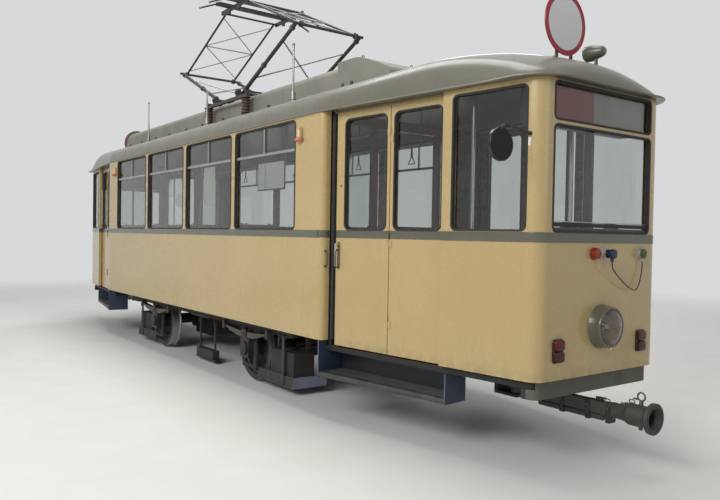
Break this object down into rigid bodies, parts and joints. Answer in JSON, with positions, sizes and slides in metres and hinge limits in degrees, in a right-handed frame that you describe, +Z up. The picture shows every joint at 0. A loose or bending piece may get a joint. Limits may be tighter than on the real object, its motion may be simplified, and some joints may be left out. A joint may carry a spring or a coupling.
{
  "type": "tram",
  "caption": "Double-ended motor tram on two axles, with tapered platforms, folding doors, roof pantograph and a drawbar at each end.",
  "frame": {"origin": "middle of the tram at the lowest point of the wheel flanges, 20 mm below the rail's top", "axes": "+X towards the front end, +Y to the left side, +Z up"},
  "size_m": [11.92, 2.3398, 4.83],
  "materials": {
    "cream_paint": "semi-gloss enamel",
    "roof_grey": "gloss enamel",
    "frame_grey": "matt, dusty",
    "step_blue": "satin",
    "glass": "clear",
    "black_rubber": "smooth",
    "aluminium": "satin",
    "steel": "worn",
    "cast_iron": "oily",
    "lamp": "clear lens",
    "headlamp": "bright ring and glass",
    "mirror_black": "black shell",
    "sign_white": "enamel with a red ring, blank",
    "wood": "varnished slats",
    "brown_wood": "varnished",
    "floor_brown": "worn planks",
    "controller_green": "gloss",
    "plug_blue": "plain",
    "cord_black": "plain",
    "socket_grey": "plain",
    "panto_brown": "oxide paint"
  },
  "bodies": {
    "carbody": {"axle_boxes": "cast_iron", "controllers": "controller_green", "end_glass": "glass", "end_wall_front": "cream_paint", "end_wall_rear": "cream_paint", "floor": "floor_brown", "handrails": "aluminium", "headlamps": "headlamp", "jumper_cable": "cord_black", "mirrors": "mirror_black", "motors": "cast_iron", "pantograph_base": "panto_brown", "partitions": "brown_wood", "plug": "plug_blue", "roof": "roof_grey", "roof_covers": "roof_grey", "roof_posts": "roof_grey", "roof_signs": "sign_white", "rubber_seals": "black_rubber", "sand_boxes": "frame_grey", "seats": "wood", "side_glass": "glass", "side_wall_left": "cream_paint", "side_wall_right": "cream_paint", "sockets": "socket_grey", "springs": "steel", "step_boxes": "step_blue", "tail_lamps": "lamp", "track_brakes": "cast_iron", "truck_frame": "frame_grey", "turn_signals": "cream_paint", "underframe": "frame_grey", "vent_bars": "aluminium", "wheel_guards": "frame_grey"},
    "wheelset_front": {"wheelset_front": "steel"},
    "wheelset_rear": {"wheelset_rear": "steel"},
    "door_pillar_leaf_front_left": {"door_pillar_leaf_front_left": "cream_paint", "door_pillar_glass_front_left": "glass"},
    "door_free_leaf_front_left": {"door_free_leaf_front_left": "cream_paint", "door_free_glass_front_left": "glass"},
    "door_pillar_leaf_front_right": {"door_pillar_leaf_front_right": "cream_paint", "door_pillar_glass_front_right": "glass"},
    "door_free_leaf_front_right": {"door_free_leaf_front_right": "cream_paint", "door_free_glass_front_right": "glass"},
    "door_pillar_leaf_rear_left": {"door_pillar_leaf_rear_left": "cream_paint", "door_pillar_glass_rear_left": "glass"},
    "door_free_leaf_rear_left": {"door_free_leaf_rear_left": "cream_paint", "door_free_glass_rear_left": "glass"},
    "door_pillar_leaf_rear_right": {"door_pillar_leaf_rear_right": "cream_paint", "door_pillar_glass_rear_right": "glass"},
    "door_free_leaf_rear_right": {"door_free_leaf_rear_right": "cream_paint", "door_free_glass_rear_right": "glass"},
    "coupler_front": {"coupler_front": "cast_iron"},
    "coupler_rear": {"coupler_rear": "cast_iron"},
    "pantograph_lower_front": {"pantograph_lower_front": "panto_brown"},
    "pantograph_lower_rear": {"pantograph_lower_rear": "panto_brown"},
    "pantograph_upper_front": {"pantograph_upper_front": "panto_brown"},
    "pantograph_upper_rear": {"pantograph_upper_rear": "panto_brown"},
    "pantograph_head": {"pantograph_head": "panto_brown"}
  },
  "joints": [
    {"name": "wheelset_front_spin", "type": "hinge", "parent": "carbody", "child": "wheelset_front", "pos_m": [1.45, 0, 0.4], "axis": [0, 1, 0], "continuous": true},
    {"name": "wheelset_rear_spin", "type": "hinge", "parent": "carbody", "child": "wheelset_rear", "pos_m": [-1.45, 0, 0.4], "axis": [0, 1, 0], "continuous": true},
    {"name": "door_fold_front_left", "type": "hinge", "parent": "carbody", "child": "door_pillar_leaf_front_left", "pos_m": [4.60779, 0.76726, 1.72], "axis": [0, 0, 1], "range_deg": [0, 82]},
    {"name": "door_seam_front_left", "type": "hinge", "parent": "door_pillar_leaf_front_left", "child": "door_free_leaf_front_left", "pos_m": [4.00134, 0.89552, 1.72], "axis": [0, 0, 1], "range_deg": [-164, 0]},
    {"name": "door_fold_front_right", "type": "hinge", "parent": "carbody", "child": "door_pillar_leaf_front_right", "pos_m": [4.60779, -0.76726, 1.72], "axis": [0, 0, -1], "range_deg": [0, 82]},
    {"name": "door_seam_front_right", "type": "hinge", "parent": "door_pillar_leaf_front_right", "child": "door_free_leaf_front_right", "pos_m": [4.00134, -0.89552, 1.72], "axis": [0, 0, -1], "range_deg": [-164, 0]},
    {"name": "door_fold_rear_left", "type": "hinge", "parent": "carbody", "child": "door_pillar_leaf_rear_left", "pos_m": [-4.60779, 0.76726, 1.72], "axis": [0, 0, -1], "range_deg": [0, 82]},
    {"name": "door_seam_rear_left", "type": "hinge", "parent": "door_pillar_leaf_rear_left", "child": "door_free_leaf_rear_left", "pos_m": [-4.00134, 0.89552, 1.72], "axis": [0, 0, -1], "range_deg": [-164, 0]},
    {"name": "door_fold_rear_right", "type": "hinge", "parent": "carbody", "child": "door_pillar_leaf_rear_right", "pos_m": [-4.60779, -0.76726, 1.72], "axis": [0, 0, 1], "range_deg": [0, 82]},
    {"name": "door_seam_rear_right", "type": "hinge", "parent": "door_pillar_leaf_rear_right", "child": "door_free_leaf_rear_right", "pos_m": [-4.00134, -0.89552, 1.72], "axis": [0, 0, 1], "range_deg": [-164, 0]},
    {"name": "coupler_swing_front", "type": "hinge", "parent": "carbody", "child": "coupler_front", "pos_m": [4.7, 0, 0.44], "axis": [0, 0, 1], "range_deg": [-20, 20]},
    {"name": "coupler_swing_rear", "type": "hinge", "parent": "carbody", "child": "coupler_rear", "pos_m": [-4.7, 0, 0.44], "axis": [0, 0, 1], "range_deg": [-20, 20]},
    {"name": "pantograph_raise", "type": "hinge", "parent": "carbody", "child": "pantograph_lower_front", "pos_m": [0.348, 0, 3.55], "axis": [0, -1, 0], "range_deg": [-20, 25]},
    {"name": "pantograph_rear_shaft", "type": "hinge", "parent": "carbody", "child": "pantograph_lower_rear", "pos_m": [-0.348, 0, 3.55], "axis": [0, 1, 0], "range_deg": [-20, 25]},
    {"name": "pantograph_knee_front", "type": "hinge", "parent": "pantograph_lower_front", "child": "pantograph_upper_front", "pos_m": [1.68, 0, 4.16], "axis": [0, 1, 0], "range_deg": [-40, 50]},
    {"name": "pantograph_knee_rear", "type": "hinge", "parent": "pantograph_lower_rear", "child": "pantograph_upper_rear", "pos_m": [-1.68, 0, 4.16], "axis": [0, -1, 0], "range_deg": [-40, 50]},
    {"name": "pantograph_head_pivot", "type": "hinge", "parent": "pantograph_upper_front", "child": "pantograph_head", "pos_m": [0.348, 0, 4.77], "axis": [0, -1, 0], "range_deg": [-20, 25]}
  ],
  "couplings": [
    {"joint": "door_seam_front_left", "follows": "door_fold_front_left", "ratio": -2},
    {"joint": "door_seam_front_right", "follows": "door_fold_front_right", "ratio": -2},
    {"joint": "door_seam_rear_left", "follows": "door_fold_rear_left", "ratio": -2},
    {"joint": "door_seam_rear_right", "follows": "door_fold_rear_right", "ratio": -2},
    {"joint": "pantograph_rear_shaft", "follows": "pantograph_raise", "ratio": 1},
    {"joint": "pantograph_knee_front", "follows": "pantograph_raise", "ratio": 2},
    {"joint": "pantograph_knee_rear", "follows": "pantograph_raise", "ratio": 2},
    {"joint": "pantograph_head_pivot", "follows": "pantograph_raise", "ratio": 1}
  ]
}
